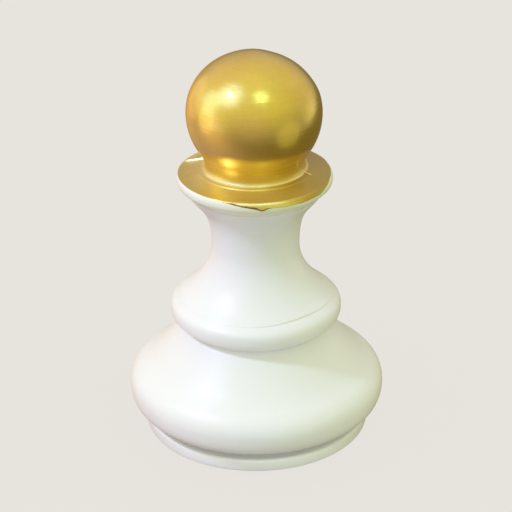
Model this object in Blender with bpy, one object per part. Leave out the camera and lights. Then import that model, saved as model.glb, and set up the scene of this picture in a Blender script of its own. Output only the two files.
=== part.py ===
"""Large decorative chess pawn, built as a stack of turned sections on a tie rod.

From the top: a ball head with a short neck and a spigot, a collar ring, a waisted
stem with a flared skirt, a hollow bulb, and a thin foot plate.  A threaded rod runs
up the middle into a brass insert in the ball; a nut and a washer in the foot's
counterbore clamp the stack.  A ballast ring sits in the bulb, and a felt disc set
into the foot's underside is what the pawn stands on.

Units: the constants are in millimetres, the scene in metres.  +Z is up, and the
origin is the centre of the felt's lower face.
"""

import math

import bmesh
import bpy

MM = 0.001

# ---------------------------------------------------------------- driving dimensions
SEGMENTS = 40            # facets around the large turned sections
GAP = 0.3                # assembly gap between neighbouring pieces

# felt pad and foot
FELT_RADIUS = 42.0
FELT_HEIGHT = 1.5
FELT_PROUD = 0.5         # the felt stands this far below the foot
FOOT_RADIUS = 45.4
FOOT_TOP = 5.2           # height of the foot's upper face
FOOT_EDGE = 1.1          # rounding of the foot's edges
FOOT_STEP_RADIUS = 35.4  # raised disc that locates the bulb
FOOT_STEP_TOP = 7.0
FOOT_HUB_RADIUS = 17.0   # hub that carries the nut's counterbore
FOOT_HUB_TOP = 13.0
COUNTERBORE_RADIUS = 10.0
COUNTERBORE_TOP = 9.0

# bulb
BULB_RADIUS = 51.75
BULB_MIDDLE = 18.0       # height of its widest place
BULB_UNDERCUT = 8.9      # how far its lower half curves in
BULB_SHOULDER_R = 45.4   # where its round side turns into the hollow shoulder
BULB_SHOULDER_Z = 27.65
BULB_SLOPE_LOW = 0.71    # rise over run where the shoulder starts
BULB_SLOPE_HIGH = 1.30   # and where it meets the skirt
BULB_SEAT_R = 29.3       # outer edge of the flat seat for the stem
BULB_SEAT_Z = 45.65
BULB_MOUTH_R = 35.8      # opening in the underside
BULB_CEILING = 37.0
SOCKET_R = 12.3
SOCKET_DEPTH = 5.0

# stem with its skirt
SKIRT_LIP_R = 31.7       # lower edge of the skirt's rim
SKIRT_LIP_Z = 47.1
SKIRT_RADIUS = 34.4
SKIRT_MIDDLE = 52.0
SKIRT_RIDGE_R = 30.95    # faint ridge above the rim
SKIRT_RIDGE_Z = 57.65
WAIST_RADIUS = 17.7
WAIST_Z = 80.0
STEM_TOP_R = 26.8
STEM_TOP = 102.9
SPIGOT_R = 12.0
SPIGOT_LENGTH = 4.6

# collar
COLLAR_RADIUS = 30.85
COLLAR_RIM_Z = 108.0
COLLAR_RIM_HALF = 2.15
COLLAR_RIM_ROUND = 1.2
COLLAR_TOP = 112.5       # height of its upper face at the neck
COLLAR_INNER_R = 19.9

# head
NECK_RADIUS = 19.2
NECK_FOOT_Z = 113.3
NECK_TOP_R = 22.4        # where the neck blends into the ball
BALL_RADIUS = 26.9
BALL_MIDDLE = 134.65
BALL_UPPER = 24.35       # height of the ball above its widest place
BALL_LOWER = 26.4        # depth of the full ball below it
BALL_FULLNESS = 0.92     # under 1 makes the top fuller than an ellipse
HEAD_BORE_TOP = 135.0

# hardware
ROD_RADIUS = 3.0
ROD_HOLE_R = 4.0
ROD_BOTTOM = 2.5
ROD_TOP = 131.0
INSERT_RADIUS = 5.0
INSERT_BOTTOM = 115.5
INSERT_TOP = 131.5
WASHER_RADIUS = 9.0
WASHER_HEIGHT = 1.6
NUT_FLATS = 10.0         # across flats
NUT_HEIGHT = 4.6
THREAD_CLEAR_R = 3.3     # hole radius around the rod in nut, washer and insert

# ballast
BALLAST_INNER_R = 18.0
BALLAST_OUTER_R = 33.0
BALLAST_HEIGHT = 15.0
BALLAST_CHAMFER = 1.5


# ---------------------------------------------------------------- profile helpers
def arc(cx, cz, a, b, start, stop, count, power=1.0):
    """Points on an ellipse about (cx, cz), from one angle to another in degrees.

    A power under 1 squares the curve's shoulder; it is used between 0 and 90 degrees."""
    points = []
    for i in range(count):
        t = math.radians(start + (stop - start) * i / (count - 1))
        c, s = math.cos(t), math.sin(t)
        if power != 1.0:
            c, s = max(c, 0.0) ** power, max(s, 0.0) ** power
        points.append((cx + a * c, cz + b * s))
    return points


def curve(p0, p1, p2, p3, count):
    """Points on a cubic Bezier."""
    points = []
    for i in range(count):
        t = i / (count - 1)
        u = 1.0 - t
        points.append(tuple(
            u ** 3 * p0[k] + 3 * u * u * t * p1[k] + 3 * u * t * t * p2[k] + t ** 3 * p3[k]
            for k in (0, 1)))
    return points


def outline(*runs):
    """Runs of points joined into one closed loop, with repeated points left out."""
    points = []
    for run in runs:
        for p in run:
            if not points or math.dist(p, points[-1]) > 1e-4:
                points.append(p)
    if math.dist(points[0], points[-1]) <= 1e-4:
        points.pop()
    return points


# ---------------------------------------------------------------- scene helpers
def material(name, colour, roughness, metallic):
    mat = bpy.data.materials.new(name)
    mat.use_nodes = True
    shader = mat.node_tree.nodes["Principled BSDF"]
    shader.inputs["Base Color"].default_value = (*colour, 1.0)
    shader.inputs["Roughness"].default_value = roughness
    shader.inputs["Metallic"].default_value = metallic
    mat.diffuse_color = (*colour, 1.0)
    return mat


def add_object(name, bm, mat, parent, smooth=True):
    bmesh.ops.recalc_face_normals(bm, faces=bm.faces)
    mesh = bpy.data.meshes.new(name)
    bm.to_mesh(mesh)
    bm.free()
    if smooth:
        mesh.shade_smooth()
        mesh.set_sharp_from_angle(angle=math.radians(38.0))
    if mat is not None:
        mesh.materials.append(mat)
    obj = bpy.data.objects.new(name, mesh)
    bpy.context.scene.collection.objects.link(obj)
    obj.parent = parent
    return obj


def turned(name, points, mat, parent, steps=SEGMENTS):
    """A closed (radius, height) outline spun about the Z axis."""
    bm = bmesh.new()
    verts = [bm.verts.new((r * MM, 0.0, z * MM)) for r, z in points]
    edges = []
    for a, b in zip(verts, verts[1:] + verts[:1]):
        if a.co.x > 1e-9 or b.co.x > 1e-9:      # nothing runs along the axis itself
            edges.append(bm.edges.new((a, b)))
    bmesh.ops.spin(bm, geom=verts + edges, cent=(0, 0, 0), axis=(0, 0, 1), dvec=(0, 0, 0),
                   angle=2.0 * math.pi, steps=steps, use_merge=True, use_normal_flip=False)
    bmesh.ops.remove_doubles(bm, verts=bm.verts, dist=1e-6)
    return add_object(name, bm, mat, parent)


def prism(name, sides, across_flats, bottom, top, mat, parent):
    """An upright regular prism, its size given across its flats."""
    radius = across_flats / 2.0 / math.cos(math.pi / sides)
    bm = bmesh.new()
    ring = bmesh.ops.create_circle(bm, cap_ends=True, segments=sides, radius=radius * MM)
    for v in ring["verts"]:
        v.co.z = bottom * MM
    out = bmesh.ops.extrude_face_region(bm, geom=bm.faces[:])
    lifted = [g for g in out["geom"] if isinstance(g, bmesh.types.BMVert)]
    bmesh.ops.translate(bm, verts=lifted, vec=(0, 0, (top - bottom) * MM))
    return add_object(name, bm, mat, parent, smooth=False)


def cutter(obj):
    obj.hide_render = True
    obj.display_type = "WIRE"
    return obj


def boolean(obj, operation, tool):
    mod = obj.modifiers.new(operation.lower(), "BOOLEAN")
    mod.operation = operation
    mod.solver = "EXACT"
    mod.object = tool


# ---------------------------------------------------------------- outlines
def felt_outline():
    r = FELT_RADIUS
    return outline([(0.0, 0.0), (r - 0.3, 0.0), (r, 0.3), (r, FELT_HEIGHT), (0.0, FELT_HEIGHT)])


def foot_outline():
    low, e = FELT_PROUD, FOOT_EDGE
    recess_r, recess_top = FELT_RADIUS + 0.4, FELT_HEIGHT + GAP
    return outline(
        [(ROD_HOLE_R, COUNTERBORE_TOP), (COUNTERBORE_RADIUS, COUNTERBORE_TOP),
         (COUNTERBORE_RADIUS, recess_top), (recess_r, recess_top), (recess_r, low)],
        arc(FOOT_RADIUS - 0.5 * e, low + 0.5 * e, 0.5 * e, 0.5 * e, -90, 0, 3),
        arc(FOOT_RADIUS - e, FOOT_TOP - e, e, e, 0, 90, 4),
        [(FOOT_STEP_RADIUS, FOOT_TOP), (FOOT_STEP_RADIUS, FOOT_STEP_TOP),
         (FOOT_HUB_RADIUS, FOOT_STEP_TOP), (FOOT_HUB_RADIUS, FOOT_HUB_TOP),
         (ROD_HOLE_R, FOOT_HUB_TOP)],
    )


def bulb_outline():
    bottom = FOOT_TOP + GAP
    centre_r = BULB_RADIUS - BULB_UNDERCUT
    seat = BULB_SEAT_Z
    lower = arc(centre_r, BULB_MIDDLE, BULB_UNDERCUT, BULB_MIDDLE - bottom, -87, 0, 9)
    side = curve((BULB_RADIUS, BULB_MIDDLE), (BULB_RADIUS, BULB_MIDDLE + 5.3),
                 (BULB_SHOULDER_R + 3.0, BULB_SHOULDER_Z - 3.0 * BULB_SLOPE_LOW),
                 (BULB_SHOULDER_R, BULB_SHOULDER_Z), 8)
    third = (BULB_SHOULDER_R - BULB_SEAT_R) / 3.0
    shoulder = curve((BULB_SHOULDER_R, BULB_SHOULDER_Z),
                     (BULB_SHOULDER_R - third, BULB_SHOULDER_Z + third * BULB_SLOPE_LOW),
                     (BULB_SEAT_R + third, seat - third * BULB_SLOPE_HIGH),
                     (BULB_SEAT_R, seat), 6)
    top = [(SOCKET_R, seat), (SOCKET_R, seat - SOCKET_DEPTH),
           (ROD_HOLE_R, seat - SOCKET_DEPTH), (ROD_HOLE_R, BULB_CEILING)]
    inside = [(14.0, BULB_CEILING)]
    inside += curve((22.0, 35.6), (33.0, 29.0), (43.6, 26.0), (43.6, 18.0), 6)
    inside += [(42.4, 12.5), (BULB_MOUTH_R, 8.6), (BULB_MOUTH_R, bottom)]
    return outline(lower, side, shoulder, top, inside)


def stem_outline():
    seat = BULB_SEAT_Z + GAP
    under = [(ROD_HOLE_R, seat - SPIGOT_LENGTH), (SPIGOT_R, seat - SPIGOT_LENGTH), (SPIGOT_R, seat)]
    rim_low = curve((BULB_SEAT_R + 0.2, seat), (SKIRT_LIP_R, SKIRT_LIP_Z),
                    (SKIRT_RADIUS, SKIRT_MIDDLE - 3.0), (SKIRT_RADIUS, SKIRT_MIDDLE), 7)
    rise = SKIRT_RIDGE_Z - SKIRT_MIDDLE
    rim_high = curve((SKIRT_RADIUS, SKIRT_MIDDLE), (SKIRT_RADIUS, SKIRT_MIDDLE + 0.5 * rise),
                     (SKIRT_RIDGE_R + 0.29 * rise, SKIRT_RIDGE_Z - 0.35 * rise),
                     (SKIRT_RIDGE_R, SKIRT_RIDGE_Z), 5)
    flare = curve((SKIRT_RIDGE_R, SKIRT_RIDGE_Z), (SKIRT_RIDGE_R - 1.0, SKIRT_RIDGE_Z + 1.2),
                  (WAIST_RADIUS, WAIST_Z - 13.1), (WAIST_RADIUS, WAIST_Z), 11)
    neck = curve((WAIST_RADIUS, WAIST_Z), (WAIST_RADIUS, WAIST_Z + 15.2),
                 (STEM_TOP_R - 4.2, STEM_TOP - 6.5), (STEM_TOP_R, STEM_TOP), 9)
    socket = [(SOCKET_R, STEM_TOP), (SOCKET_R, STEM_TOP - SOCKET_DEPTH),
              (ROD_HOLE_R, STEM_TOP - SOCKET_DEPTH)]
    return outline(under, rim_low, rim_high, flare, neck, socket)


def collar_outline():
    bottom = STEM_TOP + GAP
    a, b = COLLAR_RIM_ROUND, COLLAR_RIM_HALF
    rim = arc(COLLAR_RADIUS - a, COLLAR_RIM_Z, a, b, -78, 84, 10)
    return outline([(SOCKET_R, bottom), (STEM_TOP_R + 0.2, bottom)], rim,
                   [(COLLAR_INNER_R + 0.5, COLLAR_TOP), (SOCKET_R, COLLAR_TOP)])


def head_outline():
    foot = COLLAR_TOP + GAP
    spigot_bottom = STEM_TOP - SPIGOT_LENGTH
    join = math.degrees(math.acos(NECK_TOP_R / BALL_RADIUS))
    join_z = BALL_MIDDLE - BALL_LOWER * math.sin(math.radians(join))
    bore = INSERT_RADIUS + GAP
    neck = [(NECK_RADIUS + 0.8, foot), (NECK_RADIUS + 0.7, NECK_FOOT_Z)]
    neck += curve((NECK_RADIUS, NECK_FOOT_Z + 0.5), (NECK_RADIUS, NECK_FOOT_Z + 2.2),
                  (NECK_TOP_R - 1.4, join_z - 1.7), (NECK_TOP_R, join_z), 5)
    lower = arc(0.0, BALL_MIDDLE, BALL_RADIUS, BALL_LOWER, -join, 0, 6)
    upper = arc(0.0, BALL_MIDDLE, BALL_RADIUS, BALL_UPPER, 0, 90, 11, BALL_FULLNESS)
    upper[-1] = (0.0, BALL_MIDDLE + BALL_UPPER)
    return outline([(0.0, HEAD_BORE_TOP), (bore, HEAD_BORE_TOP - 2.0), (bore, spigot_bottom),
                    (SPIGOT_R - 0.6, spigot_bottom), (SPIGOT_R, spigot_bottom + 0.6),
                    (SPIGOT_R, foot)], neck, lower, upper)


def rod_outline():
    r, c = ROD_RADIUS, 0.8
    return outline([(0.0, ROD_BOTTOM), (r - c, ROD_BOTTOM), (r, ROD_BOTTOM + c),
                    (r, ROD_TOP - c), (r - c, ROD_TOP), (0.0, ROD_TOP)])


def insert_outline():
    """A bush with a collar at its mouth and two grip grooves."""
    r, low, high = INSERT_RADIUS, INSERT_BOTTOM, INSERT_TOP
    groove = 0.6
    span = (high - low) / 5.0
    points = [(THREAD_CLEAR_R, low), (r, low)]
    for k in (1, 3):
        z0, z1 = low + k * span, low + (k + 1) * span
        points += [(r, z0), (r - groove, z0 + groove), (r - groove, z1 - groove), (r, z1)]
    points += [(r, high - 0.5), (r - 0.5, high), (THREAD_CLEAR_R, high)]
    return outline(points)


def washer_outline(bottom):
    return outline([(THREAD_CLEAR_R, bottom), (WASHER_RADIUS, bottom),
                    (WASHER_RADIUS, bottom + WASHER_HEIGHT), (THREAD_CLEAR_R, bottom + WASHER_HEIGHT)])


def ballast_outline():
    low = FOOT_STEP_TOP + GAP
    high = low + BALLAST_HEIGHT
    c = BALLAST_CHAMFER
    return outline([(BALLAST_INNER_R, low), (BALLAST_OUTER_R - c, low), (BALLAST_OUTER_R, low + c),
                    (BALLAST_OUTER_R, high - 2.0 * c), (BALLAST_OUTER_R - 2.0 * c, high),
                    (BALLAST_INNER_R + c, high), (BALLAST_INNER_R, high - c)])


# ---------------------------------------------------------------- the pawn
def main():
    for obj in list(bpy.data.objects):
        bpy.data.objects.remove(obj, do_unlink=True)

    gold = material("gold_paint", (0.60, 0.42, 0.085), 0.30, 1.0)
    gold_collar = material("gold_and_white_paint", (0.56, 0.38, 0.075), 0.33, 1.0)
    white = material("white_paint", (0.84, 0.85, 0.83), 0.28, 0.0)
    white_bulb = material("white_paint_bulb", (0.84, 0.85, 0.83), 0.28, 0.0)
    white_foot = material("white_paint_foot", (0.82, 0.83, 0.81), 0.32, 0.0)
    felt = material("green_felt", (0.04, 0.14, 0.07), 0.95, 0.0)
    iron = material("cast_iron", (0.09, 0.09, 0.095), 0.65, 1.0)
    steel = material("zinc_steel", (0.62, 0.63, 0.65), 0.35, 1.0)
    steel_nut = material("zinc_steel_nut", (0.58, 0.59, 0.61), 0.38, 1.0)
    steel_washer = material("zinc_steel_washer", (0.66, 0.67, 0.69), 0.32, 1.0)
    brass = material("brass", (0.62, 0.44, 0.16), 0.30, 1.0)

    pawn = bpy.data.objects.new("pawn", None)
    bpy.context.scene.collection.objects.link(pawn)

    turned("felt_pad", felt_outline(), felt, pawn)
    turned("foot_plate", foot_outline(), white_foot, pawn)
    turned("base_bulb", bulb_outline(), white_bulb, pawn)
    turned("stem_skirt", stem_outline(), white, pawn)
    turned("collar_ring", collar_outline(), gold_collar, pawn)
    turned("head_ball", head_outline(), gold, pawn)
    turned("ballast_weight", ballast_outline(), iron, pawn, steps=32)
    turned("tie_rod", rod_outline(), steel, pawn, steps=16)
    turned("head_insert", insert_outline(), brass, pawn, steps=20)

    # washer against the counterbore's ceiling, nut under it
    washer_bottom = COUNTERBORE_TOP - GAP - WASHER_HEIGHT
    turned("base_washer", washer_outline(washer_bottom), steel_washer, pawn, steps=24)

    nut_top = washer_bottom - GAP
    nut_bottom = nut_top - NUT_HEIGHT
    nut = prism("base_nut", 6, NUT_FLATS, nut_bottom, nut_top, steel_nut, pawn)
    corner = NUT_FLATS / 2.0 / math.cos(math.pi / 6.0)
    rounding = turned("nut_rounding", outline([
        (0.0, nut_bottom - 0.5), (corner - 1.15, nut_bottom - 0.5), (corner + 0.4, nut_bottom + 0.55),
        (corner + 0.4, nut_top - 0.55), (corner - 1.15, nut_top + 0.5), (0.0, nut_top + 0.5)]),
        None, pawn, steps=24)
    hole = turned("nut_hole", outline([
        (0.0, nut_bottom - 1.0), (THREAD_CLEAR_R, nut_bottom - 1.0),
        (THREAD_CLEAR_R, nut_top + 1.0), (0.0, nut_top + 1.0)]), None, pawn, steps=24)
    boolean(nut, "INTERSECT", cutter(rounding))
    boolean(nut, "DIFFERENCE", cutter(hole))


main()
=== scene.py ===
import math

import bpy
import numpy as np
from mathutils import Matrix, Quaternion, Vector


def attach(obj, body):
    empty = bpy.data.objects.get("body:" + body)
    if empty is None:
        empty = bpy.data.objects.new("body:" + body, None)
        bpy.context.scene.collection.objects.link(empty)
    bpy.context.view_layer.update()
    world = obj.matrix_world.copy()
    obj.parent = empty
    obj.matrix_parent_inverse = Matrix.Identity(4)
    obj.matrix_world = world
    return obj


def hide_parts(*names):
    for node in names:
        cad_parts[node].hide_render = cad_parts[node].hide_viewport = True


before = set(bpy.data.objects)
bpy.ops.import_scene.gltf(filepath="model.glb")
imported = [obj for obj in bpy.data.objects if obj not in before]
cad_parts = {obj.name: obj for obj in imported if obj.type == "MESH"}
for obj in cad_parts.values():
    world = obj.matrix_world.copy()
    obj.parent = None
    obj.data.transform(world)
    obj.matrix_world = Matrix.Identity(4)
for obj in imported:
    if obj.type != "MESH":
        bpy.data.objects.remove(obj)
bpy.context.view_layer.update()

MM = 0.001
TAU = 2.0 * math.pi


# ---------------------------------------------------------------- outline helpers (radius, height in mm)
def ellipse(cx, cz, a, b, start, stop, count, power=1.0):
    points = []
    for i in range(count):
        t = math.radians(start + (stop - start) * i / (count - 1))
        c, s = math.cos(t), math.sin(t)
        if power != 1.0:
            c, s = max(c, 0.0) ** power, max(s, 0.0) ** power
        points.append((cx + a * c, cz + b * s))
    return points


def bezier(p0, p1, p2, p3, count):
    points = []
    for i in range(count):
        t = i / (count - 1)
        u = 1.0 - t
        points.append(tuple(
            u ** 3 * p0[k] + 3 * u * u * t * p1[k] + 3 * u * t * t * p2[k] + t ** 3 * p3[k]
            for k in (0, 1)))
    return points


def corner(before, at, after, size, count=5):
    """A rounded corner: a short parabola that cuts the corner `size` before and after it."""
    points = []
    da, db = math.dist(before, at), math.dist(at, after)
    p = tuple(at[k] + (before[k] - at[k]) * size / da for k in (0, 1))
    q = tuple(at[k] + (after[k] - at[k]) * size / db for k in (0, 1))
    for i in range(count):
        t = i / (count - 1)
        points.append(tuple((1 - t) ** 2 * p[k] + 2 * t * (1 - t) * at[k] + t * t * q[k] for k in (0, 1)))
    return points


def joined(*runs):
    points = []
    for run in runs:
        for p in run:
            if not points or math.dist(p, points[-1]) > 1e-3:
                points.append(p)
    if math.dist(points[0], points[-1]) <= 1e-3:
        points.pop()
    return points


def along(points, count, lean=1.0):
    """`count` points spread evenly along a polyline; a lean over 1 packs them towards its end."""
    p = np.array(points, float)
    step = np.r_[0.0, np.cumsum(np.hypot(*np.diff(p, axis=0).T))]
    s = step[-1] * (1.0 - (1.0 - np.linspace(0.0, 1.0, count)) ** lean)
    return np.c_[np.interp(s, step, p[:, 0]), np.interp(s, step, p[:, 1])]


def ease(x):
    x = np.clip(x, 0.0, 1.0)
    return x * x * (3.0 - 2.0 * x)


def wave(az, z, seed, size, scale=1.0):
    """A slow, repeatable unevenness round the axis, about +-size."""
    rng = np.random.default_rng(seed)
    total = 0.0
    for m in (1, 2, 3, 4, 6, 9):
        a, b, c = rng.uniform(0, TAU, 3)
        total = total + np.sin(m * az + a + 1.3 * np.sin(z * scale * 0.05 * (1 + 0.3 * m) + b)) * np.cos(z * scale * 0.04 * m + c) / (1.0 + 0.35 * m)
    return size * total / 1.6


# ---------------------------------------------------------------- mesh helpers
def link(name, verts, faces, materials, index=None, sharp=38.0):
    mesh = bpy.data.meshes.new(name)
    mesh.from_pydata([tuple(v) for v in verts], [], faces)
    for m in materials:
        mesh.materials.append(m)
    if index is not None:
        mesh.polygons.foreach_set("material_index", np.asarray(index, np.int32))
    mesh.validate()
    mesh.shade_smooth()
    mesh.set_sharp_from_angle(angle=math.radians(sharp))
    mesh.update()
    obj = bpy.data.objects.new(name, mesh)
    bpy.context.scene.collection.objects.link(obj)
    return obj


def spun_grid(rows, az, closed=True):
    """Faces of a grid of rows x columns that closes round the axis.  Rows run counter-clockwise in the
    (radius, height) plane, so that the faces look outwards."""
    n, m = rows, len(az)
    faces = []
    for i in range(n if closed else n - 1):
        k = (i + 1) % n
        for j in range(m):
            l = (j + 1) % m
            faces.append((i * m + j, i * m + l, k * m + l, k * m + j))
    return faces


def turned(name, loop, materials, segments=288, shape=None, slots=None):
    """A closed outline spun about Z.  A point on the axis becomes one vertex."""
    p = np.array(loop, float)
    nxt = np.roll(p, -1, 0)
    if (p[:, 0] * nxt[:, 1] - nxt[:, 0] * p[:, 1]).sum() < 0:
        p = p[::-1].copy()
    az = np.arange(segments) * TAU / segments
    r = np.repeat(p[:, :1], segments, 1)
    z = np.repeat(p[:, 1:], segments, 1)
    a = np.repeat(az[None], len(p), 0)
    if shape is not None:
        r, z = shape(r, z, a)
    verts = np.stack([r * np.cos(a), r * np.sin(a), z], -1).reshape(-1, 3) * MM
    on_axis = p[:, 0] < 1e-6
    faces, index = [], []
    n, m = len(p), segments
    for i in range(n):
        k = (i + 1) % n
        if on_axis[i] and on_axis[k]:
            continue
        for j in range(m):
            l = (j + 1) % m
            if on_axis[i]:
                faces.append((i * m, k * m + l, k * m + j))
            elif on_axis[k]:
                faces.append((i * m + j, i * m + l, k * m))
            else:
                faces.append((i * m + j, i * m + l, k * m + l, k * m + j))
            index.append(slots(p[i], p[k]) if slots else 0)
    used = np.unique(np.concatenate([np.array(f) for f in faces]))
    new = -np.ones(len(verts), int)
    new[used] = np.arange(len(used))
    return link(name, verts[used], [tuple(int(new[v]) for v in f) for f in faces], materials, index)


# ---------------------------------------------------------------- material helpers
class Nodes:
    """A small helper to write a node tree as code."""

    def __init__(self, name):
        self.mat = bpy.data.materials.new(name)
        self.mat.use_nodes = True
        self.tree = self.mat.node_tree
        self.tree.nodes.clear()
        self.out = self.tree.nodes.new("ShaderNodeOutputMaterial")
        self.bsdf = self.tree.nodes.new("ShaderNodeBsdfPrincipled")
        self.tree.links.new(self.bsdf.outputs[0], self.out.inputs["Surface"])
        self.coord = self.tree.nodes.new("ShaderNodeTexCoord")

    def put(self, socket, value):
        if hasattr(value, "is_linked"):
            self.tree.links.new(value, socket)
        else:
            socket.default_value = value

    def mm(self, sx, sy, sz):
        """Position in mm, times these factors."""
        n = self.tree.nodes.new("ShaderNodeVectorMath")
        n.operation = "MULTIPLY"
        self.put(n.inputs[0], self.coord.outputs["Object"])
        n.inputs[1].default_value = (1000.0 * sx, 1000.0 * sy, 1000.0 * sz)
        return n.outputs[0]

    def noise(self, vector, scale=1.0, detail=3.0, rough=0.55, distort=0.0):
        n = self.tree.nodes.new("ShaderNodeTexNoise")
        self.put(n.inputs["Vector"], vector)
        n.inputs["Scale"].default_value = scale
        n.inputs["Detail"].default_value = detail
        n.inputs["Roughness"].default_value = rough
        n.inputs["Distortion"].default_value = distort
        return n.outputs[0]

    def voronoi(self, vector, scale=1.0, feature="F1"):
        n = self.tree.nodes.new("ShaderNodeTexVoronoi")
        n.feature = feature
        self.put(n.inputs["Vector"], vector)
        n.inputs["Scale"].default_value = scale
        return n.outputs[0]

    def math(self, op, a, b=0.0, c=0.0, clamp=False):
        n = self.tree.nodes.new("ShaderNodeMath")
        n.operation = op
        n.use_clamp = clamp
        for s, v in zip(n.inputs, (a, b, c)):
            self.put(s, v)
        return n.outputs[0]

    def ramp(self, value, stops, ease_kind="LINEAR"):
        n = self.tree.nodes.new("ShaderNodeValToRGB")
        n.color_ramp.interpolation = ease_kind
        e = n.color_ramp.elements
        while len(e) < len(stops):
            e.new(0.5)
        for k, (pos, col) in zip(e, stops):
            k.position = pos
            k.color = (*col, 1.0) if len(col) == 3 else col
        self.put(n.inputs[0], value)
        return n.outputs[0]

    def remap(self, value, lo, hi, a, b, smooth=False):
        n = self.tree.nodes.new("ShaderNodeMapRange")
        n.interpolation_type = "SMOOTHSTEP" if smooth else "LINEAR"
        for s, v in zip((n.inputs["Value"], n.inputs["From Min"], n.inputs["From Max"], n.inputs["To Min"], n.inputs["To Max"]),
                        (value, lo, hi, a, b)):
            self.put(s, v)
        return n.outputs[0]

    def mix(self, fac, a, b):
        n = self.tree.nodes.new("ShaderNodeMix")
        n.data_type = "RGBA"
        self.put(n.inputs[0], fac)
        for s, v in ((n.inputs[6], a), (n.inputs[7], b)):
            self.put(s, (*v, 1.0) if isinstance(v, tuple) and len(v) == 3 else v)
        return n.outputs[2]

    def bump(self, height, strength, distance, normal=None):
        n = self.tree.nodes.new("ShaderNodeBump")
        n.inputs["Strength"].default_value = strength
        n.inputs["Distance"].default_value = distance
        self.put(n.inputs["Height"], height)
        if normal is not None:
            self.put(n.inputs["Normal"], normal)
        return n.outputs[0]

    def set(self, **values):
        for name, value in values.items():
            socket = self.bsdf.inputs[name.replace("_", " ")]
            self.put(socket, (*value, 1.0) if isinstance(value, tuple) and len(value) == 3 and socket.type == "RGBA" else value)
        return self.mat


def gold_paint(name, light, deep, rough, thin_paint_and_highlight=None, metallic=0.92, shade_colour=None):
    """Satin gold paint laid on with a soft brush: broad tonal drift, strokes round the axis, fine metal flake.
    Between the two heights of `thin_paint_and_highlight`, in mm, it is brushed out so fine that the pale casting shows
    through, and the pale band there is partly a painted highlight along the neck's fillet.
    `shade_colour` is a darker colour mixed in mostly towards +X and a little at -X: painted shade on the sides of the
    collar's top that lie in shade."""
    n = Nodes(name)
    drift = n.noise(n.mm(0.045, 0.045, 0.06), 1.0, 3.0, 0.5, 0.6)
    stroke = n.noise(n.mm(0.05, 0.05, 0.95), 1.0, 4.0, 0.62, 0.35)
    cross = n.noise(n.mm(0.6, 0.6, 0.07), 1.0, 3.0, 0.6, 0.25)
    flake = n.voronoi(n.mm(1, 1, 1), 7.0)
    tone = n.math("ADD", n.math("MULTIPLY", drift, 0.62), n.math("ADD", n.math("MULTIPLY", stroke, 0.22), n.math("MULTIPLY", cross, 0.16)))
    colour = n.ramp(tone, [(0.34, deep), (0.62, light)])
    colour = n.mix(n.remap(flake, 0.25, 0.6, 0.0, 0.10), colour, tuple(0.86 * c for c in deep))
    uneven = n.math("ADD", n.math("MULTIPLY", stroke, 0.7), n.math("ADD", n.math("MULTIPLY", cross, 0.4), n.math("MULTIPLY", flake, 0.05)))
    normal = n.bump(uneven, 0.5, 0.00016)
    # painted shade: a darker colour mixed in towards +X, and a little at -X, where the collar's top lies in shade
    if shade_colour:
        split = n.tree.nodes.new("ShaderNodeSeparateXYZ")
        n.put(split.inputs[0], n.mm(1, 1, 1))
        across = n.math("ADD", n.math("MULTIPLY_ADD", split.outputs["Y"], 0.35, split.outputs["X"]), n.math("MULTIPLY", n.math("SUBTRACT", drift, 0.5), 14.0))
        colour = n.mix(n.remap(across, -6.0, 18.0, 0.0, 0.90, True), colour, shade_colour)
        colour = n.mix(n.remap(across, -20.0, -30.0, 0.0, 0.55, True), colour, shade_colour)
    # a pale, less metallic band round the neck's foot: partly the casting showing through fine-brushed paint, partly a
    # painted highlight along the fillet
    if thin_paint_and_highlight:
        split = n.tree.nodes.new("ShaderNodeSeparateXYZ")
        n.put(split.inputs[0], n.mm(1, 1, 1))
        height = n.math("ADD", split.outputs["Z"], n.math("MULTIPLY", n.math("SUBTRACT", stroke, 0.5), 0.5))
        bare_and_highlight = n.math("MULTIPLY", n.remap(height, thin_paint_and_highlight[0] - 0.12, thin_paint_and_highlight[0] + 0.08, 0.0, 1.0, True),
                      n.remap(height, thin_paint_and_highlight[1] - 0.15, thin_paint_and_highlight[1] + 0.25, 1.0, 0.0, True))
        # painted highlight: only along the front, and less towards +X, where the lamps catch the fillet
        bare_and_highlight = n.math("MULTIPLY", bare_and_highlight, n.math("MULTIPLY", n.remap(split.outputs["Y"], -12.0, -5.0, 1.0, 0.25, True),
                                               n.remap(split.outputs["X"], 1.0, 15.0, 1.0, 0.70, True)))
        colour = n.mix(bare_and_highlight, colour, (1.0, 0.91, 0.47))
        metallic = n.remap(bare_and_highlight, 0.0, 1.0, metallic, 0.32)
    dull = n.remap(tone, 0.3, 0.7, rough + 0.05, rough - 0.04)
    if thin_paint_and_highlight:
        # the neck below the ball is brushed more roughly
        dull = n.math("ADD", dull, n.remap(split.outputs["Z"], 115.0, 118.5, 0.18, 0.0, True))
    return n.set(Base_Color=colour, Metallic=metallic, Roughness=dull,
                 Coat_Weight=0.40, Coat_Roughness=0.18, Coat_IOR=1.45, Normal=normal)


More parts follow.
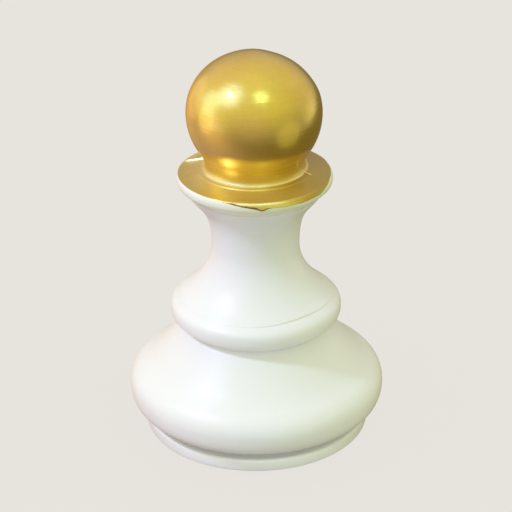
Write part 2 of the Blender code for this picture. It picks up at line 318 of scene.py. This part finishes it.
def white_paint(name, colour, rough, lower_shade=None):
    """Satin-gloss white paint on a casting: faint clouding, a little orange peel, soft brush drag round the axis.
    From the upper of the two heights of `lower_shade`, in mm, down to the lower it turns greyer: painted shade."""
    n = Nodes(name)
    cloud = n.noise(n.mm(0.03, 0.03, 0.035), 1.0, 4.0, 0.55, 0.4)
    drag = n.noise(n.mm(0.035, 0.035, 0.7), 1.0, 3.0, 0.6, 0.2)
    peel = n.noise(n.mm(0.8, 0.8, 0.8), 1.0, 2.0, 0.5)
    tone = n.math("ADD", n.math("MULTIPLY", cloud, 0.7), n.math("MULTIPLY", drag, 0.3))
    base = n.ramp(tone, [(0.30, tuple(c * k for c, k in zip(colour, (0.965, 0.962, 0.955)))), (0.68, colour)])
    # painted shade: greyer towards the bottom
    if lower_shade:
        split = n.tree.nodes.new("ShaderNodeSeparateXYZ")
        n.put(split.inputs[0], n.mm(1, 1, 1))
        base = n.mix(n.remap(split.outputs["Z"], lower_shade[0], lower_shade[1], 1.0, 0.0, True), base, tuple(0.86 * c for c in colour))
    rise = n.math("ADD", n.math("MULTIPLY", peel, 0.35), n.math("MULTIPLY", drag, 0.8))
    return n.set(Base_Color=base, Metallic=0.0, Roughness=n.remap(tone, 0.3, 0.7, rough + 0.05, rough - 0.04),
                 Normal=n.bump(rise, 0.10, 0.00010))


def felt_cloth(name):
    """Pressed wool felt: matted fibres, faint lighter nap."""
    n = Nodes(name)
    fibre = n.noise(n.mm(1.4, 1.4, 1.4), 1.0, 6.0, 0.72, 2.2)
    matted = n.noise(n.mm(0.16, 0.16, 0.16), 1.0, 3.0, 0.5)
    tone = n.math("ADD", n.math("MULTIPLY", fibre, 0.7), n.math("MULTIPLY", matted, 0.3))
    base = n.ramp(tone, [(0.30, (0.010, 0.045, 0.020)), (0.55, (0.022, 0.085, 0.038)), (0.75, (0.050, 0.140, 0.070))])
    return n.set(Base_Color=base, Roughness=0.95, Sheen_Weight=0.5, Sheen_Roughness=0.5,
                 Normal=n.bump(fibre, 0.8, 0.0004))


def metal(name, colour, rough, grain, coarse=0.0):
    """Machined or cast metal: lathe marks round the axis, stains, and a rough cast skin where coarse is above 0."""
    n = Nodes(name)
    lines = n.noise(n.mm(0.08, 0.08, grain), 1.0, 4.0, 0.6)
    stain = n.noise(n.mm(0.11, 0.11, 0.11), 1.0, 4.0, 0.6, 0.5)
    cast = n.noise(n.mm(0.9, 0.9, 0.9), 1.0, 5.0, 0.65)
    tone = n.math("ADD", n.math("MULTIPLY", lines, 0.35), n.math("MULTIPLY", stain, 0.65))
    base = n.ramp(tone, [(0.3, tuple(0.72 * c for c in colour)), (0.65, colour)])
    rise = n.math("ADD", n.math("MULTIPLY", lines, 0.5), n.math("MULTIPLY", cast, coarse))
    return n.set(Base_Color=base, Metallic=1.0, Roughness=n.remap(tone, 0.3, 0.7, rough + 0.1, rough - 0.06),
                 Normal=n.bump(rise, 0.4, 0.0002))


GOLD_LIGHT, GOLD_DEEP = (0.84, 0.62, 0.150), (0.76, 0.52, 0.095)
gold = gold_paint("gold_paint", GOLD_LIGHT, GOLD_DEEP, 0.25, (112.36, 112.92))
gold_collar = gold_paint("gold_collar_paint", (0.88, 0.68, 0.215), (0.76, 0.555, 0.140), 0.34, metallic=0.78, shade_colour=(0.45, 0.305, 0.040))
# pale gold: worn paint on the mould lines, and a painted highlight along the rim's shoulder
gold_rubbed_and_highlight = gold_paint("gold_paint_rubbed_and_highlight", (0.93, 0.86, 0.58), (0.88, 0.78, 0.46), 0.40)
# dark brown gold: painted shade under the paint's lower edge on the collar's rim
gold_edge_shade = gold_paint("gold_paint_edge_shade", (0.26, 0.18, 0.055), (0.18, 0.115, 0.028), 0.55)
white = white_paint("white_paint", (0.885, 0.890, 0.880), 0.40)
white_bulb = white_paint("white_paint_bulb", (0.885, 0.890, 0.880), 0.40)
# the foot's white is a touch brighter than the others, painted light for its dim side, and greyer low down, painted
# shade
white_foot = white_paint("white_paint_foot", (0.895, 0.900, 0.885), 0.42, (0.6, 4.6))
white_collar = white_paint("white_paint_collar", (0.885, 0.890, 0.880), 0.40)
felt = felt_cloth("green_felt")


# ---------------------------------------------------------------- head: ball, neck, flange and spigot
def head_outline():
    ball_r, middle, up, low = 26.45, 135.05, 23.95, 26.2
    neck_top = 21.4
    join = math.degrees(math.acos(neck_top / ball_r))
    join_z = middle - low * math.sin(math.radians(join))
    bore = 5.3
    inside = [(0.0, 135.0), (bore, 133.0), (bore, 98.3), (11.4, 98.3), (12.0, 98.9), (12.0, 112.56)]
    flange = [(20.2, 112.60), (20.6, 112.51)]
    cove = bezier((21.05, 112.42), (20.35, 112.62), (19.72, 113.0), (19.60, 114.2), 20)
    neck = bezier((19.60, 114.2), (19.50, 116.4), (20.55, join_z - 1.7), (neck_top, join_z), 20)
    lower = ellipse(0.0, middle, ball_r, low, -join, 0, 32)
    upper = ellipse(0.0, middle, ball_r, up, 0, 90, 52, 0.97)
    upper[-1] = (0.0, middle + up)
    return joined(inside, flange, cove, neck, lower, upper)


def head_shape(r, z, az):
    d = wave(az, z, 11, 0.07) * ease((z - 113.0) / 8.0) * ease(r / 8.0)
    # the casting is a little flat at the upper right rear
    x, y, h = r * np.cos(az), r * np.sin(az), z - 135.0
    size = np.sqrt(x * x + y * y + h * h)
    near = (0.60 * x + 0.36 * y + 0.71 * h) / np.maximum(size, 1.0)
    dent = 0.42 * ease((near - 0.78) / 0.20) * (size > 20.0)
    return r + d - dent * r / np.maximum(size, 1.0), z - dent * h / np.maximum(size, 1.0)


head = turned("head_gilded", head_outline(), [gold], 288, head_shape)


# ---------------------------------------------------------------- collar: white casting, gold paint on its upper side
PART_PLANE = (math.radians(160.0), math.radians(-20.5))     # where the two mould halves met


def collar_angles():
    """Columns round the collar, closer together at the mould lines and where the paint edge runs fast."""
    a = np.linspace(-math.pi, math.pi, 7200, endpoint=False)
    weight = np.ones_like(a)
    for c, w, k in ((PART_PLANE[0], 0.030, 9.0), (PART_PLANE[1], 0.030, 7.0), (math.radians(-96), 0.42, 0.9)):
        d = np.angle(np.exp(1j * (a - c)))
        weight += k * np.exp(-(d / w) ** 2)
    total = np.r_[0.0, np.cumsum(weight)]
    want = np.linspace(0.0, total[-1], 521)[:-1]
    return np.interp(want, total, np.r_[a, math.pi])


def paint_edge(az):
    """Height of the brushed paint's lower edge on the collar's rim."""
    keys = [(-180, 109.7), (-160, 109.95), (-140, 110.0), (-126, 109.95), (-117, 109.75), (-111, 109.45), (-105, 109.15),
            (-100, 108.80), (-96, 108.42), (-92, 108.10), (-88, 107.70), (-85.5, 107.25), (-83.5, 107.20), (-82, 107.75),
            (-80, 108.10), (-75, 108.05), (-69, 107.90), (-60, 107.85), (-54, 107.85), (-45, 107.95), (-34, 108.15), (-24, 109.3), (-14, 109.95),
            (0, 110.05), (15, 110.05), (30, 109.6), (60, 109.0), (90, 108.5), (120, 108.9), (150, 109.5), (180, 109.7)]
    x, y = np.array(keys, float).T
    d = np.degrees(az)
    z = sum(np.interp((d + o + 180) % 360 - 180, x, y) for o in (-1, -0.5, 0, 0.5, 1)) / 5.0
    ragged = 0.05 * np.sin(23 * az + 1.0) + 0.035 * np.sin(57 * az + 2.2) + 0.025 * np.sin(131 * az)
    return z + ragged * (0.12 + 0.88 * ease((110.0 - z) / 0.6))


def make_collar():
    az = collar_angles()
    bottom, socket = 103.10, 12.3
    rim_r, rim_z, a, b = 29.45, 108.0, 1.2, 2.15
    start = (rim_r + a * math.cos(math.radians(-78)), rim_z + b * math.sin(math.radians(-78)))
    under = corner((20.0, bottom), (27.0, bottom), (27.6, 103.9), 0.42, 6)
    under += bezier((27.25, 103.43), (27.9, 104.3), (28.95, 105.55), start, 14)
    side = ellipse(rim_r, rim_z, a, b, -78, 84, 90)
    top_from = side[-1]
    top = bezier(top_from, (26.7, 110.72), (23.5, 111.72), (20.6, 112.45), 60)
    outer = np.array(joined(under, side, top), float)
    length = np.r_[0.0, np.cumsum(np.hypot(*np.diff(outer, axis=0).T))]
    # place along the outline where the rim reaches the paint edge's height
    first, last = len(joined(under)) - 1, len(joined(under, side)) - 1
    edge = np.interp(paint_edge(az), outer[first:last + 1, 1], length[first:last + 1])
    below, above, step = 44, 78, 5
    s = []
    t = np.linspace(0.0, 1.0, below)
    for q in t:
        s.append(edge * (1 - (1 - q) ** 1.35))
    for q in np.linspace(0.0, 1.0, step + 1)[1:]:
        s.append(edge + 0.16 * q)
    for q in np.linspace(0.0, 1.0, above + 1)[1:]:
        s.append(edge + 0.16 + (length[-1] - edge - 0.16) * q ** 1.25)
    s = np.array(s)
    r, z = np.interp(s, length, outer[:, 0]), np.interp(s, length, outer[:, 1])
    dr, dz = np.gradient(r, axis=0), np.gradient(z, axis=0)
    size = np.hypot(dr, dz)
    nr, nz = dz / size, -dr / size
    A = np.repeat(az[None], len(s), 0)
    # paint film: a rounded edge, thicker where it ran
    past = s - edge[None]
    run = np.exp(-(np.angle(np.exp(1j * (A - math.radians(-84.5)))) / 0.10) ** 2)
    film = (0.09 + 0.13 * run * np.exp(-np.maximum(past, 0) / 1.2)) * ease(past / 0.16) + 0.05 * np.exp(-((past - 0.30) / 0.22) ** 2)
    film *= past > 0
    r, z = r + nr * film, z + nz * film
    # unevenness of the casting
    body = ease((s - 1.0) / 3.0)
    r = r + wave(A, z, 23, 0.06) * body
    z = z + wave(A, r * 2.0, 29, 0.05) * body
    # mould lines on the upper face: a raised fin, the rear half standing a little lower
    flat = ease((z - 109.9) / 0.8)
    ridge = np.zeros_like(z)
    for centre, reach, high in ((PART_PLANE[0], 31.0, 0.78), (PART_PLANE[1], 24.4, 0.50)):
        off = np.angle(np.exp(1j * (A - centre)))
        dist = r * np.sin(off)
        fin = high * np.exp(-(dist / 0.50) ** 2) * (np.cos(off) > 0) * ease((reach - r) / 1.6)
        z = z + fin * flat
        ridge = np.maximum(ridge, fin * flat)
    off = np.angle(np.exp(1j * (A - PART_PLANE[0])))
    z = z - 0.55 * flat * ease(-off / 0.02) * ease((off + 1.0) / 0.7) * ease((r - 21.0) / 2.4)
    # a low roll of paint that gathered round the foot of the neck, mostly at the front
    front = np.exp(-(np.angle(np.exp(1j * (A - math.radians(-98.0)))) / 0.75) ** 2)
    z = z + (0.03 + 0.37 * front) * np.exp(-((r - 22.35) / 0.40) ** 2)
    inner = np.array([(socket, 112.45), (socket, bottom)])
    R = np.vstack([r, np.repeat(inner[:, :1], len(az), 1)])
    Z = np.vstack([z, np.repeat(inner[:, 1:], len(az), 1)])
    A = np.repeat(az[None], len(R), 0)
    verts = np.stack([R * np.cos(A), R * np.sin(A), Z], -1).reshape(-1, 3) * MM
    rows = len(R)
    faces = spun_grid(rows, az)
    index = np.zeros((rows, len(az)), int)
    index[below:below + step + above - 1] = 1
    # painted shade: along the front a brown, dull band at the film's lower edge, where the paint's raised edge faces
    # down into shade
    reach = 0.60 + 0.14 * np.sin(19 * az + 0.5) + 0.08 * np.sin(47 * az)
    front = ease((np.degrees(az) + 113.0) / 9.0) * ease((-76.0 - np.degrees(az)) / 7.0)
    edge_shade = (past > 0) & (past < reach[None] * front[None])
    index[:len(s)][edge_shade] = 2
    # the paint is worn down along the mould lines; the pale band along the front of the rim's shoulder is a painted
    # highlight
    shoulder = 0.30 * ease((np.degrees(az) + 106.0) / 8.0) * ease((-62.0 - np.degrees(az)) / 14.0)
    shoulder = (np.abs(z - 109.66 - 0.05 * np.sin(13 * az)[None]) < shoulder[None]) & (r > 29.0)
    index[:len(s)][((ridge > 0.30) | shoulder) & (index[:len(s)] == 1)] = 3
    return link("collar_painted", verts, faces, [white_collar, gold_collar, gold_edge_shade, gold_rubbed_and_highlight], index.ravel(), 50.0)


collar = make_collar()


# ---------------------------------------------------------------- stem with its skirt
def stem_outline():
    seat, top = 45.82, 102.98
    under = [(4.0, 41.35), (12.0, 41.35), (12.0, seat)]
    rim_low = corner((20.0, seat), (29.6, seat), (31.0, 46.7), 0.15, 4)
    rim_low += bezier((29.72, 45.90), (30.8, 46.70), (31.9, 47.55), (32.9, 48.35), 10)
    rim_low += bezier((32.9, 48.35), (33.85, 49.1), (34.33, 50.0), (34.40, 51.6), 20)
    rim_high = bezier((34.40, 51.6), (34.48, 54.1), (33.90, 55.1), (32.55, 56.15), 24)
    rim_high += bezier((32.55, 56.15), (32.0, 56.55), (31.45, 56.88), (30.92, 57.12), 10)
    step = corner((31.3, 56.95), (30.80, 57.17), (30.77, 57.5), 0.16, 5)
    step += corner((30.79, 57.3), (30.75, 57.70), (30.3, 58.05), 0.16, 5)
    flare = bezier((30.60, 57.84), (29.6, 58.8), (17.5, 66.9), (17.5, 80.0), 48)
    neck = bezier((17.5, 80.0), (17.5, 95.2), (22.6, 96.4), (26.64, 102.62), 36)
    edge = corner((26.5, 102.4), (26.86, top), (25.0, top), 0.38, 6)
    socket = [(12.3, top), (12.3, 97.9), (4.0, 97.9)]
    return joined(under, rim_low, rim_high, step, flare, neck, edge, socket)


def stem_shape(r, z, az):
    skin = ease((r - 15.0) / 2.0)
    d = wave(az, z, 37, 0.09) * skin * ease((z - 46.0) / 2.0) * ease((102.6 - z) / 3.0)
    # the small step above the rim is deep on one side and fades out round the rest
    side = np.exp(-(np.angle(np.exp(1j * (az - math.radians(-60.0)))) / 0.52) ** 2)
    near = (z > 55.9) & (z < 57.9) & (r > 30.6) & (r < 32.55)
    smooth = 57.84 - 0.867 * (r - 30.60)
    z = np.where(near, z + np.maximum(smooth - z, 0.0) * (1.0 - 1.40 * side), z)
    # it doesn't run level: it climbs the flare towards +X
    climb = 0.90 * np.exp(-(np.angle(np.exp(1j * (az - math.radians(-54.0)))) / 0.40) ** 2)
    climb = climb - 0.40 * np.exp(-(np.angle(np.exp(1j * (az - math.radians(-98.0)))) / 0.28) ** 2)
    climb = climb * np.exp(-((r - 30.8) / 2.4) ** 2) * ease((z - 51.5) / 3.0) * ease((68.0 - z) / 4.0)
    r, z = r - 0.74 * climb, z + 0.67 * climb
    # the joint under the collar isn't quite even
    z = z + 0.035 * np.sin(3 * az + 0.6) * ease((z - 102.5) / 0.3) * ease((r - 20.0) / 5.0) * np.ones_like(az)
    return r + d, z


stem = turned("stem_white", stem_outline(), [white], 288, stem_shape)


# ---------------------------------------------------------------- bulb
def bulb_outline():
    bottom, seat = 5.42, 45.70
    lower = bezier((40.3, 7.0), (42.4, 7.45), (44.9, 8.7), (46.6, 9.4), 14)
    lower += bezier((46.6, 9.4), (50.0, 10.75), (51.75, 12.9), (51.75, 18.0), 28)
    side = bezier((51.75, 18.0), (51.75, 23.3), (48.4, 25.52), (45.4, 27.65), 26)
    shoulder = bezier((45.4, 27.65), (40.033, 31.461), (34.667, 38.70), (29.35, 45.60), 30)
    top = [(29.2, seat), (12.3, seat), (12.3, 40.65), (4.0, 40.65), (4.0, 37.0), (14.0, 37.0)]
    inside = bezier((22.0, 35.6), (33.0, 29.0), (43.6, 26.0), (43.6, 18.0), 10)
    inside += [(42.4, 12.5), (35.8, 8.6), (35.8, bottom), (39.7, bottom), (40.1, 6.3)]
    return joined(lower, side, shoulder, top, inside)


def bulb_shape(r, z, az):
    skin = ease((z - 6.5) / 3.0) * ease((45.0 - z) / 2.0) * (r > 30.0)
    skin = skin * np.where((r < 44.0) & (z < 27.0), 0.0, 1.0)
    d = wave(az, z, 41, 0.10) * skin
    return np.minimum(r + d, 51.9), z


bulb = turned("bulb_white", bulb_outline(), [white_bulb], 320, bulb_shape)


# ---------------------------------------------------------------- foot
def foot_outline():
    low, top, radius = 0.5, 5.55, 45.45
    under = [(4.0, 9.0), (10.0, 9.0)]
    under += corner((10.0, 3.0), (10.0, 1.8), (12.0, 1.8), 0.3, 4)
    under += [(42.4, 1.8)]
    under += corner((42.4, 1.2), (42.4, low), (43.1, low), 0.2, 4)
    edge = bezier((44.6, low), (45.2, low), (radius, 0.75), (radius, 1.35), 12)
    edge += bezier((radius, 4.25), (radius, 5.0), (radius - 0.55, top - 0.06), (radius - 1.3, top), 16)
    upper = bezier((radius - 1.45, top), (42.8, top), (41.2, top - 0.30), (39.9, 5.2), 10)
    upper += [(35.4, 5.2)]
    upper += corner((35.4, 6.0), (35.4, 7.0), (34.0, 7.0), 0.3, 4)
    upper += corner((18.0, 7.0), (17.0, 7.0), (17.0, 8.0), 0.5, 5)
    upper += corner((17.0, 12.0), (17.0, 13.0), (16.0, 13.0), 0.4, 5)
    upper += [(4.0, 13.0)]
    return joined(under, edge, upper)


def foot_shape(r, z, az):
    rim = ease((r - 42.6) / 1.8)
    return r + wave(az, z, 53, 0.10) * rim, z + wave(az, r, 59, 0.05) * rim * ease((z - 2.0) / 2.5)


foot = turned("foot_white", foot_outline(), [white_foot], 320, foot_shape)


# ---------------------------------------------------------------- felt
def felt_outline():
    return joined([(x, 0.0) for x in np.linspace(0.0, 41.0, 44)], corner((41.0, 0.0), (42.0, 0.0), (42.0, 1.0), 0.35, 6),
                  [(42.0, 1.0), (42.0, 1.5)], [(x, 1.5) for x in np.linspace(41.0, 0.0, 6)])


def felt_shape(r, z, az):
    """A nap that is a little uneven, and an edge that isn't cut quite round."""
    x, y = r * np.cos(az), r * np.sin(az)
    nap = np.sin(1.7 * x + 2.0 * np.sin(0.9 * y)) * np.sin(1.9 * y + 1.6 * np.sin(1.1 * x + 0.7))
    lift = 0.035 * (nap + 1.0) * ((z < 0.2) & (r > 0.1))
    edge = ease((r - 39.0) / 3.0)
    return r - edge * 0.14 * (1.0 + np.sin(37 * az + 0.4) * np.sin(11 * az)), z + lift


felt_piece = turned("felt_disc", felt_outline(), [felt], 240, felt_shape)


# ---------------------------------------------------------------- what rides, and what it stands for
for piece, node, slot in ((head, "head_ball", "gold_paint"), (collar, "collar_ring", "gold_collar_paint"),
                          (stem, "stem_skirt", "white_paint"), (bulb, "base_bulb", "white_paint"),
                          (foot, "foot_plate", "white_paint"), (felt_piece, "felt_pad", "felt")):
    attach(piece, "root")
    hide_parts(node)


def dress(node, mat):
    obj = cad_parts[node]
    obj.data.materials.clear()
    obj.data.materials.append(mat)


dress("ballast_weight", metal("cast_iron", (0.16, 0.155, 0.15), 0.62, 0.4, 1.2))
dress("tie_rod", metal("zinc_rod", (0.66, 0.67, 0.69), 0.34, 1.6))
dress("base_nut", metal("zinc_nut", (0.64, 0.65, 0.67), 0.36, 1.2))
dress("base_washer", metal("zinc_washer", (0.68, 0.69, 0.71), 0.33, 1.2))
dress("head_insert", metal("turned_brass", (0.70, 0.50, 0.19), 0.30, 1.8))


# ---------------------------------------------------------------- floor
PALE = (0.799, 0.775, 0.730)


def make_floor():
    """A shadowless sweep: mostly its own even glow, so that only a faint contact shadow shows."""
    n = Nodes("pale_floor")
    soft = n.noise(n.mm(0.002, 0.002, 0.002), 1.0, 2.0, 0.5)
    base = n.ramp(soft, [(0.3, (0.059, 0.0575, 0.055)), (0.7, (0.061, 0.0595, 0.057))])
    n.set(Base_Color=base, Roughness=0.9, Specular_IOR_Level=0.0, Emission_Color=FLOOR_GLOW, Emission_Strength=1.0)
    s = 30.0
    obj = link("floor", [(-s, -s, -0.0002), (s, -s, -0.0002), (s, s, -0.0002), (-s, s, -0.0002)], [(0, 1, 2, 3)], [n.mat])
    obj.visible_diffuse = obj.visible_glossy = obj.visible_transmission = obj.visible_shadow = False
    return obj


FLOOR_GLOW = (0.7504, 0.7283, 0.7003)
floor = make_floor()


# ---------------------------------------------------------------- light
def soft_lamp(name, towards, distance, width, height, colour, watts, aim=(0.0, 0.0, 0.075), round_=False):
    data = bpy.data.lights.new(name, "AREA")
    data.shape = "ELLIPSE" if round_ else "RECTANGLE"
    data.size, data.size_y = width, height
    data.color = colour
    data.energy = watts
    obj = bpy.data.objects.new(name, data)
    bpy.context.scene.collection.objects.link(obj)
    d = Vector(towards).normalized()
    obj.location = Vector(aim) + d * distance
    obj.rotation_mode = "QUATERNION"
    obj.rotation_quaternion = d.to_track_quat("Z", "Y")
    obj.visible_camera = False
    return obj


def direction(az, el):
    """A unit vector: azimuth 0 is towards the camera's side, positive to its right."""
    a, e = math.radians(az), math.radians(el)
    return math.sin(a) * math.cos(e), -math.cos(a) * math.cos(e), math.sin(e)


# name, what it lights, azimuth and elevation of the lamp, distance, diameter, watts of red, green and blue
LAMPS = (
    ("key", "body", -66.0, 46.0, 1.20, 0.15, (3.8, 4.2, 7.0)),
    ("front_fill", "white", 0.0, 10.0, 1.20, 1.10, (0.0, 0.19, 2.60)),
    ("back_fill", "white", 120.0, 45.0, 1.20, 1.10, (0.0, 0.22, 1.42)),
    ("right_fill", "body", 75.0, -14.0, 1.20, 1.10, (0.90, 0.485, 0.0)),
    ("right_low_fill", "body", 40.0, -14.0, 1.20, 1.10, (0.85, 1.82, 0.84)),
    ("foot_fill", "foot", 0.0, 47.0, 1.20, 0.25, (2.15, 2.15, 2.5)),
    ("key_head", "head", -62.0, 50.0, 1.20, 0.85, (0.86, 1.62, 4.20)),
    ("key_core", "head", -61.0, 51.0, 1.20, 0.20, (0.13, 0.16, 1.45)),
    ("left_low_head", "head", -88.0, -4.0, 1.20, 0.75, (0.71, 0.665, 0.52)),
    ("left_high_head", "head", -88.0, 22.0, 1.20, 0.75, (0.50, 1.04, 2.26)),
    ("back_left_head", "head", -126.0, 6.0, 1.20, 0.90, (0.684, 0.580, 0.574)),
    ("right_low_head", "head", 60.0, -20.0, 1.20, 0.90, (0.549, 0.582, 0.272)),
    ("warm", "gold", 19.0, 57.0, 1.20, 0.40, (0.41, 0.775, 0.935)),
)
lamps = {name: soft_lamp(name, direction(az, el), far, size, size, tuple(w / max(watts) for w in watts), max(watts), round_=True)
         for name, lit, az, el, far, size, watts in LAMPS}

# the table's edge as the pawn sees it: the side that faces the room, and the band over which it fades
TABLE_EDGE, FADE = (0.0925, -0.319, 0.943), (-0.31, -0.21)
# soft light from the room: azimuth and elevation of each source, how narrow it is, colour
ROOM = {
    "left_wall": (-90.0, 5.0, 3.0, (0.447, 0.442, 0.128)),
    "front_wall": (0.0, 5.0, 3.0, (0.332, 0.230, 0.302)),
    "right_wall": (90.0, 5.0, 3.0, (0.168, 0.115, 0.148)),
    "back_left": (-135.0, 35.0, 3.0, (0.596, 0.495, 0.531)),
    "back_right": (135.0, 35.0, 3.0, (0.553, 0.525, 0.450)),
    "front_left": (-45.0, 35.0, 3.0, (0.469, 0.511, 0.284)),
    "front_right": (45.0, 35.0, 3.0, (0.491, 0.587, 0.109)),
    "top": (0.0, 90.0, 8.0, (0.299, 0.327, 0.248)),
    "left_low": (-67.5, -10.0, 20.0, (0.549, 0.463, 0.850)),
    "right_low": (112.5, -10.0, 20.0, (0.603, 0.697, 0.585)),
}
# the darker table top that the pawn reflects below its edge
TABLE = {
    "table": (0.0, -90.0, 0.0, (0.174, 0.143, 0.044)),
    "table_left": (-90.0, -40.0, 3.0, (0.356, 0.272, 0.471)),
    "table_left_far": (-72.0, -10.0, 10.0, (0.528, 0.338, 0.043)),
    "table_back_left": (-144.0, -10.0, 10.0, (0.571, 0.333, 0.025)),
}


def make_world():
    world = bpy.data.worlds.new("room")
    bpy.context.scene.world = world
    world.use_nodes = True
    t = world.node_tree
    t.nodes.clear()
    new, wire = t.nodes.new, t.links.new
    coord, side = new("ShaderNodeTexCoord"), new("ShaderNodeVectorMath")
    side.operation = "DOT_PRODUCT"
    wire(coord.outputs["Generated"], side.inputs[0])
    side.inputs[1].default_value = TABLE_EDGE

    def glow_sum(sources):
        total = None
        for name, (az, el, narrow, colour) in sources.items():
            towards = new("ShaderNodeVectorMath")
            towards.operation = "DOT_PRODUCT"
            wire(coord.outputs["Generated"], towards.inputs[0])
            towards.inputs[1].default_value = direction(az, el)
            fall = new("ShaderNodeMath")
            fall.operation = "MULTIPLY_ADD"
            wire(towards.outputs["Value"], fall.inputs[0])
            fall.inputs[1].default_value, fall.inputs[2].default_value = narrow, -narrow
            glow = new("ShaderNodeMath")
            glow.operation = "EXPONENT"
            wire(fall.outputs[0], glow.inputs[0])
            scaled = new("ShaderNodeVectorMath")
            scaled.operation = "SCALE"
            scaled.name = name
            scaled.inputs[0].default_value = colour
            wire(glow.outputs[0], scaled.inputs["Scale"])
            if total is None:
                total = scaled.outputs[0]
            else:
                add = new("ShaderNodeVectorMath")
                wire(total, add.inputs[0])
                wire(scaled.outputs[0], add.inputs[1])
                total = add.outputs[0]
        return total

    edge = new("ShaderNodeMapRange")
    edge.interpolation_type = "SMOOTHSTEP"
    wire(side.outputs["Value"], edge.inputs["Value"])
    edge.inputs["From Min"].default_value, edge.inputs["From Max"].default_value = FADE
    whole = new("ShaderNodeMix")
    whole.data_type = "RGBA"
    wire(edge.outputs[0], whole.inputs[0])
    wire(glow_sum(TABLE), whole.inputs[6])
    wire(glow_sum(ROOM), whole.inputs[7])
    total = whole.outputs[2]
    light = new("ShaderNodeBackground")
    wire(total, light.inputs["Color"])
    seen = new("ShaderNodeBackground")
    seen.name = "backdrop"
    seen.inputs["Color"].default_value = (*PALE, 1.0)
    path, mix, out = new("ShaderNodeLightPath"), new("ShaderNodeMixShader"), new("ShaderNodeOutputWorld")
    wire(path.outputs["Is Camera Ray"], mix.inputs[0])
    wire(light.outputs[0], mix.inputs[1])
    wire(seen.outputs[0], mix.inputs[2])
    wire(mix.outputs[0], out.inputs["Surface"])


make_world()

# each lamp lights some of the pawn's pieces; the room alone lights the floor, so that it stays even
pieces = [obj for obj in bpy.data.objects if obj.type == "MESH" and obj is not floor]
lit_sets = {"head": [head], "gold": [head, collar], "foot": [foot], "body": [obj for obj in pieces if obj is not head],
            "white": [obj for obj in pieces if obj not in (head, collar)]}
groups = {name: bpy.data.collections.new("lit_" + name) for name in lit_sets}
for name, members in lit_sets.items():
    for obj in members:
        groups[name].objects.link(obj)
for name, lit, *rest in LAMPS:
    lamps[name].light_linking.receiver_collection = groups[lit]

# ---------------------------------------------------------------- camera
elevation, distance = math.radians(26.47), 0.760
aim = Vector((0.00021, 0.0, 0.07313))
back = Vector((0.0, -math.cos(elevation), math.sin(elevation)))
camera_data = bpy.data.cameras.new("camera")
camera_data.sensor_width = 36.0
camera_data.lens = 36.0 * 1900.0 / 512.0
camera_data.clip_start, camera_data.clip_end = 0.05, 100.0
camera = bpy.data.objects.new("camera", camera_data)
bpy.context.scene.collection.objects.link(camera)
camera.location = aim + back * distance
camera.rotation_mode = "QUATERNION"
camera.rotation_quaternion = (-back).to_track_quat("-Z", "Y") @ Quaternion((0.0, 0.0, 1.0), -0.0092)
bpy.context.scene.camera = camera

bpy.context.scene.view_settings.view_transform = "Standard"
bpy.context.scene.view_settings.look = "None"
